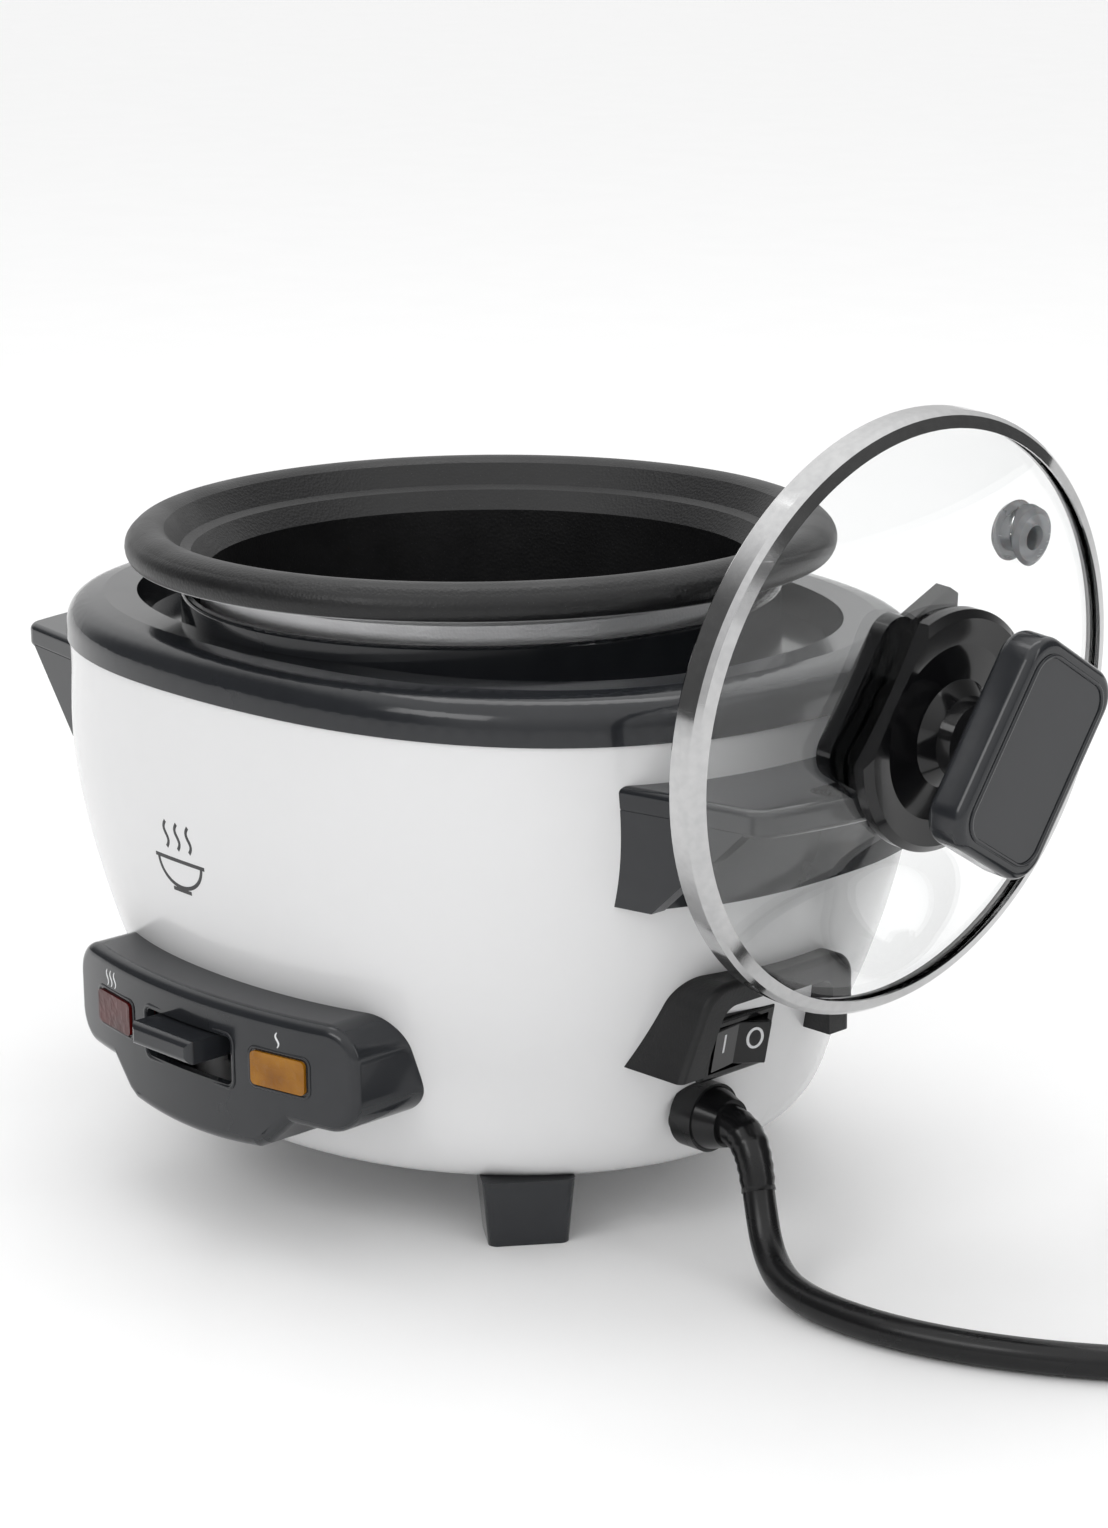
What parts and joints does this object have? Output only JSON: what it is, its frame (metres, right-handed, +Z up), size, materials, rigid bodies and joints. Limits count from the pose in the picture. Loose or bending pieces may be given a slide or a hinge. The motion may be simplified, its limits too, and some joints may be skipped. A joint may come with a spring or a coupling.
{
  "type": "rice cooker",
  "caption": "Small electric rice cooker: oval white shell, lift-out pot, press-down cook lever, rocker switch, and a glass lid parked on its side handle.",
  "frame": {"origin": "on the floor under the cooker's vertical axis, at the centre of the three feet", "axes": "+Z up, the control panel faces -Y, the switch, cord and parked lid are on +X"},
  "size_m": [0.376, 0.273, 0.1871],
  "materials": {
    "white_enamel": "gloss stove enamel",
    "grey_gloss": "moulded gloss",
    "black_gloss": "moulded gloss",
    "black_plastic": "fine texture",
    "non_stick": "speckled non-stick inside, bare satin outside",
    "aluminium": "satin",
    "polished_steel": "polished",
    "zinc_steel": "zinc plated",
    "magnet": "ferrite",
    "brass": "plain",
    "red_lens": "clear tinted",
    "amber_lens": "clear tinted",
    "bulb_glass": "clear",
    "lid_glass": "clear toughened",
    "silicone": "translucent",
    "ceramic_white": "matt",
    "black_rubber": "satin"
  },
  "bodies": {
    "base": {"outer_shell": "white_enamel", "base_plate": "zinc_steel", "top_ring": "grey_gloss", "inner_well": "aluminium", "heating_plate": "aluminium", "element_terminals": "brass", "foot_1": "grey_gloss", "foot_2": "grey_gloss", "foot_3": "grey_gloss", "foot_screws": "zinc_steel", "handle_right": "grey_gloss", "handle_left": "grey_gloss", "handle_screws": "zinc_steel", "panel_housing": "grey_gloss", "red_lens": "red_lens", "red_bulb": "bulb_glass", "amber_lens": "amber_lens", "amber_bulb": "bulb_glass", "lever_bracket": "zinc_steel", "lever_pin": "zinc_steel", "micro_switch": "black_plastic", "terminal_block": "ceramic_white", "thermal_fuse": "aluminium", "switch_hood": "black_plastic", "switch_housing": "black_plastic", "switch_tabs": "brass", "cord_gland": "black_rubber", "mains_cord": "black_rubber", "cord_coil": "black_rubber", "plug_body": "black_rubber", "plug_pins": "brass"},
    "lever": {"cook_lever": "grey_gloss", "lever_arm": "zinc_steel"},
    "magnet": {"pull_magnet": "magnet", "pull_rod": "zinc_steel"},
    "sensor": {"sensor_cap": "aluminium", "sensor_spring": "zinc_steel"},
    "rocker": {"rocker": "black_plastic"},
    "pot": {"pot": "non_stick"},
    "lid": {"lid_glass": "lid_glass", "lid_rim": "polished_steel", "vent_grommet": "silicone", "knob_base": "black_gloss", "knob_grip": "grey_gloss", "grip_inset": "grey_gloss", "lid_hanger": "black_gloss", "knob_screw": "polished_steel"}
  },
  "joints": [
    {"name": "lever_press", "type": "hinge", "parent": "base", "child": "lever", "pos_m": [0, -0.045, 0.0245], "axis": [1, 0, 0], "range_deg": [0, 6.3], "stiffness_Nm_per_rad": 0.05, "springref_deg": -11.46},
    {"name": "magnet_rise", "type": "slide", "parent": "base", "child": "magnet", "axis": [0, 0, 1], "range_m": [0, 0.0042]},
    {"name": "sensor_press", "type": "slide", "parent": "base", "child": "sensor", "axis": [0, 0, 1], "range_m": [-0.0015, 0], "stiffness_N_per_m": 300, "springref_m": 0.002, "deforming": ["sensor_spring"]},
    {"name": "rocker_tilt", "type": "hinge", "parent": "base", "child": "rocker", "pos_m": [0.09055, -0.0126, 0.04752], "axis": [0.2079, 0, 0.9781], "range_deg": [0, 19]},
    {"name": "pot_lift", "type": "slide", "parent": "base", "child": "pot", "axis": [0, 0, 1], "range_m": [0, 0.12]},
    {"name": "lid_lift", "type": "slide", "parent": "base", "child": "lid", "axis": [0.2425, 0, 0.9701], "range_m": [0, 0.03]}
  ],
  "couplings": [
    {"joint": "magnet_rise", "follows": "lever_press", "m_per_rad": 0.038}
  ]
}
